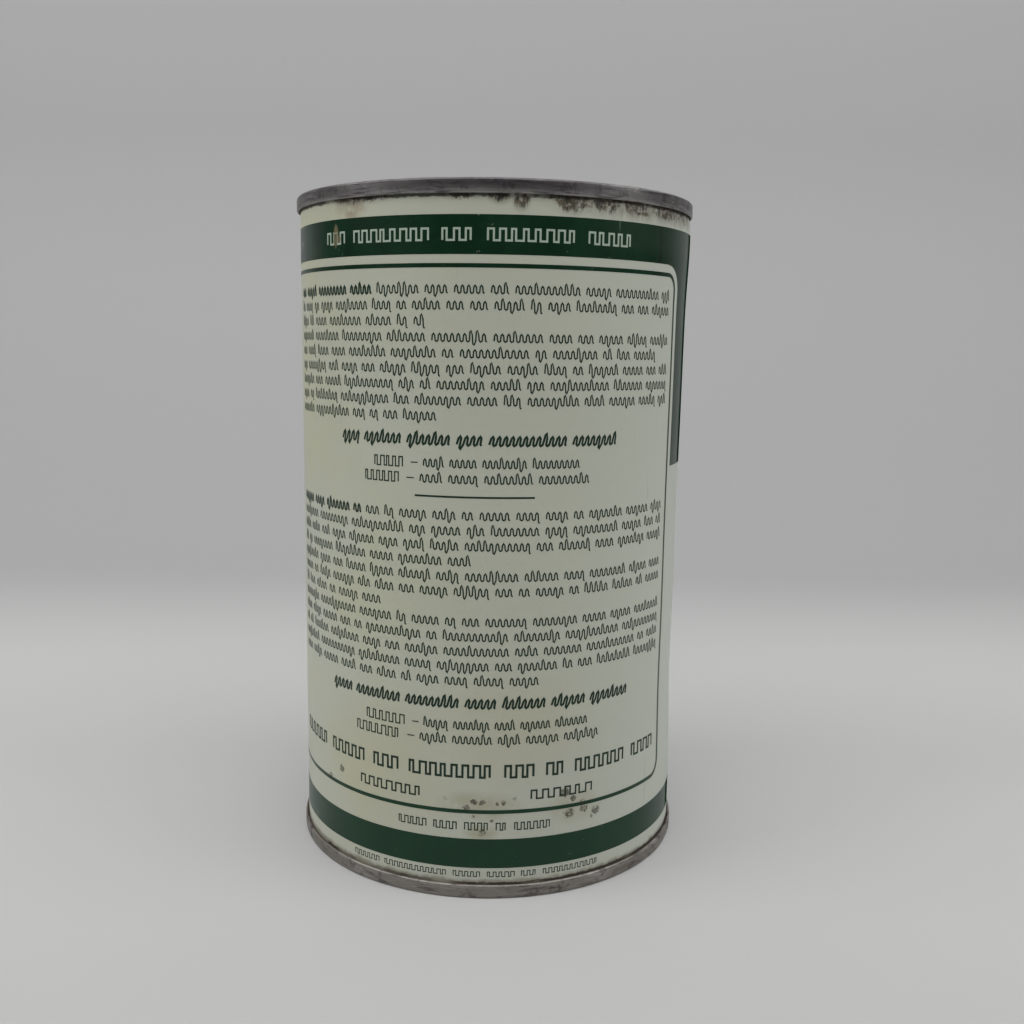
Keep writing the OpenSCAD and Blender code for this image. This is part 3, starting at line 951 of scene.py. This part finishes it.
def copy_print():
    """All the copy in the panel, in the rows, sizes and weights of a two-language text."""
    ink = Print()
    pick = random.Random(11)
    full = COPY_RIGHT
    first = [full, full, -17.6, full, 50.4, full, full, full, -14.5]
    second = [full, full, full, -5.1, full, full, -30.9, full, full, full, full, 13.4]
    paragraph(ink, 144.3, 3.54, first, 21, 4)
    row(ink, HEADING, 110.6, -44.8, 35.3, [4, 7, 7, 4, 12, 8], pick)
    for z, start, end, name_length in ((105.3, -33.0, 23.7, 5), (101.7, -36.2, 26.7, 6)):
        row(ink, GRADE, z, start, start + 1.9 * name_length, [name_length], pick)
        row(ink, TEXT, z, start + 1.9 * name_length + 1.6, end, [0, 4, 5, 8, 9], pick)
    ink.block(-20.6, 11.2, 97.45 * MM, 97.9 * MM)
    paragraph(ink, 93.3, 3.57, second, 34, 4)
    row(ink, HEADING, 48.6, -50.1, 42.3, [5, 9, 9, 5, 7, 6, 8], pick)
    for z, start, end, name_length in ((43.2, -36.3, 28.0, 6), (39.6, -40.0, 31.7, 7)):
        row(ink, GRADE, z, start, start + 2.2 * name_length, [name_length], pick)
        row(ink, TEXT, z, start + 2.2 * name_length + 1.6, end, [0, 5, 7, 4, 6, 7], pick)
    row(ink, COMPANY, 31.9, COPY_LEFT, 56.8, [6, 5, 3, 8, 3, 2, 6, 4], pick)
    row(ink, PLACE, 25.8, -38.7, -17.7, [7], pick)
    row(ink, PLACE, 25.8, 11.4, 30.8, [6], pick)
    row(ink, SMALL, 18.1, -25.5, 17.7, [5, 4, 4, 2, 6], pick)
    row(ink, TINY, 5.9, -41.2, 33.0, [6, 12, 5, 5, 3, 11], pick)
    return ink.build("copy_marks", COPY_INK)


def band_marks():
    """Cream marks on the green top band."""
    ink = Print(TOP_INK_LIFT)
    row(ink, BANNER, 156.2, -51.5, 39.3, [3, 8, 3, 8, 5], random.Random(5))
    return ink.build("band_marks", CREAM_INK)


def front_emblem():
    """A plain drop in a ring on the front side's field."""
    ink = Print(TOP_INK_LIFT)
    s, z = BODY_R * math.radians(FRONT_CENTRE), 131 * MM
    ink.ring(s, z, 34 * MM, 34 * MM, 2.2 * MM, sides=72)
    ink.ring(s, z, 29 * MM, 29 * MM, 0.6 * MM, sides=72)
    rows = 24
    outline = []
    for j in range(rows + 1):
        t = j / rows
        if t < 0.46:
            half = 6.2 * MM * math.sqrt(max(math.sin(math.pi * min(t * 1.08, 1.0)), 0))
        else:
            half = 6.17 * MM * (1 - (t - 0.46) / 0.54) ** 1.25
        outline.append((max(half, 0.02 * MM), z + (-9.5 + 20.5 * t) * MM))
    shares = [2 * i / 8 - 1 for i in range(9)]
    ink.skin([[(arc_angle(s + half * share), height) for share in shares] for half, height in outline])
    return ink.build("front_emblem", CREAM_INK)


def front_lines():
    """Green rules and marks on the cream lower half of the front side."""
    ink = Print(TOP_INK_LIFT)
    pick = random.Random(8)
    centre = FRONT_CENTRE
    ink.block(centre - 62, centre + 62, 97.2 * MM, 98.6 * MM)
    big = Style(9.0, 2.0, square=True)
    row(ink, big, 78, centre - 42, centre + 42, [5, 3], pick)
    row(ink, Style(4.2, 0.9, square=True), 62, centre - 34, centre + 34, [6, 5], pick)
    ink.block(centre - 24, centre + 24, 52.6 * MM, 53.3 * MM)
    row(ink, PLACE, 46, centre - 30, centre + 30, [3, 6, 4, 5], pick)
    row(ink, TEXT, 40.5, centre - 26, centre + 26, [4, 7, 3, 6, 5], pick)
    row(ink, SMALL, 24, centre - 20, centre + 20, [5, 4, 6], pick)
    return ink.build("front_marks", COPY_INK)


# ---------------------------------------------------------------- camera, light and stage

def camera():
    """A view from four fifths of the can's height, tilted down, with the can a little left of the middle."""
    turn, tip, roll = math.radians(1.09), math.radians(8.90), math.radians(-0.85)
    ahead = Vector((math.sin(turn) * math.cos(tip), math.cos(turn) * math.cos(tip), -math.sin(tip)))
    right = Vector((math.cos(turn), -math.sin(turn), 0))
    down = ahead.cross(right)
    side = math.cos(roll) * right + math.sin(roll) * down
    under = -math.sin(roll) * right + math.cos(roll) * down
    data = bpy.data.cameras.new("camera")
    data.lens, data.sensor_width = 37.78, 36.0
    data.clip_start, data.clip_end = 0.01, 20
    view = bpy.data.objects.new("camera", data)
    axes = Matrix((side, -under, -ahead)).transposed().to_4x4()
    view.matrix_world = Matrix.Translation((0, -293.46 * MM, 132.52 * MM)) @ axes
    bpy.context.scene.collection.objects.link(view)
    bpy.context.scene.camera = view


def panel_light(name, where, aim, size, power):
    data = bpy.data.lights.new(name, "AREA")
    data.shape = "RECTANGLE"
    data.size, data.size_y = size
    data.energy = power
    light = bpy.data.objects.new(name, data)
    light.location = where
    light.rotation_euler = (Vector(aim) - Vector(where)).to_track_quat("-Z", "Y").to_euler()
    bpy.context.scene.collection.objects.link(light)


def stage():
    """A pale sweep: floor, a soft curve behind the can, and a wall."""
    bend_start, bend_radius, half, top = 0.30, 0.30, 1.6, 1.4
    profile = [(-1.6, 0.0), (bend_start, 0.0)]
    for k in range(1, 33):
        a = math.radians(90 * k / 32)
        profile.append((bend_start + bend_radius * math.sin(a), bend_radius * (1 - math.cos(a))))
    profile.append((bend_start + bend_radius, top))
    points = [(x, y, z) for y, z in profile for x in (-half, half)]
    faces = [(2 * i, 2 * i + 1, 2 * i + 3, 2 * i + 2) for i in range(len(profile) - 1)]
    p = Paint("sweep_paper")
    base = p.mix(p.noise(6, 3.0), (0.51, 0.51, 0.505), (0.525, 0.525, 0.52))
    # painted shade: the paper is made darker behind the can, on the curve and up the wall, and a little
    # darker towards the front, so that it is palest round the can
    base = p.mix(p.step(p.y, 0.115, 0.35), base, (0.405, 0.405, 0.405))
    base = p.mix(p.step(p.z, 0.02, 0.25), base, (0.445, 0.445, 0.445))
    base = p.mix(p.step(p.y, 0.02, -0.12), base, (0.452, 0.452, 0.447))
    paper = p.finish(base, 0.75, 0.0, p.noise(420, 3.0), 0.03 * MM, 0.25)
    sweep = add_object("sweep", points, faces, paper)


def lights():
    """A light tent that is open, and so dark, on the camera's side."""
    world = bpy.data.worlds.new("studio")
    world.use_nodes = True
    world.node_tree.nodes["Background"].inputs["Color"].default_value = (0.96, 0.98, 1.0, 1)
    world.node_tree.nodes["Background"].inputs["Strength"].default_value = 0.045
    bpy.context.scene.world = world
    panel_light("overhead", (0.0, -0.20, 0.95), (0, -0.20, 0), (1.6, 1.2), 8.0)
    panel_light("upper_front", (0.0, -0.75, 1.05), (0, 0, 0.08), (1.4, 0.6), 3.7)
    panel_light("upper_left", (-0.95, -0.25, 0.80), (0, 0, 0.08), (0.7, 0.7), 5.2)
    panel_light("upper_right", (0.95, -0.25, 0.80), (0, 0, 0.08), (0.7, 0.7), 4.4)


camera()
stage()
lights()
bpy.context.scene.view_settings.view_transform = "Standard"

body_shell()
end_shell("top_end_shell", "top_end", 1)
end_shell("bottom_end_shell", "bottom_end", -1)
side_seam()
oil_body()
green_print()
copy_print()
band_marks()
front_emblem()
front_lines()

for node in ("top_seam_compound", "bottom_seam_compound"):
    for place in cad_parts[node].material_slots:
        place.material = COMPOUND
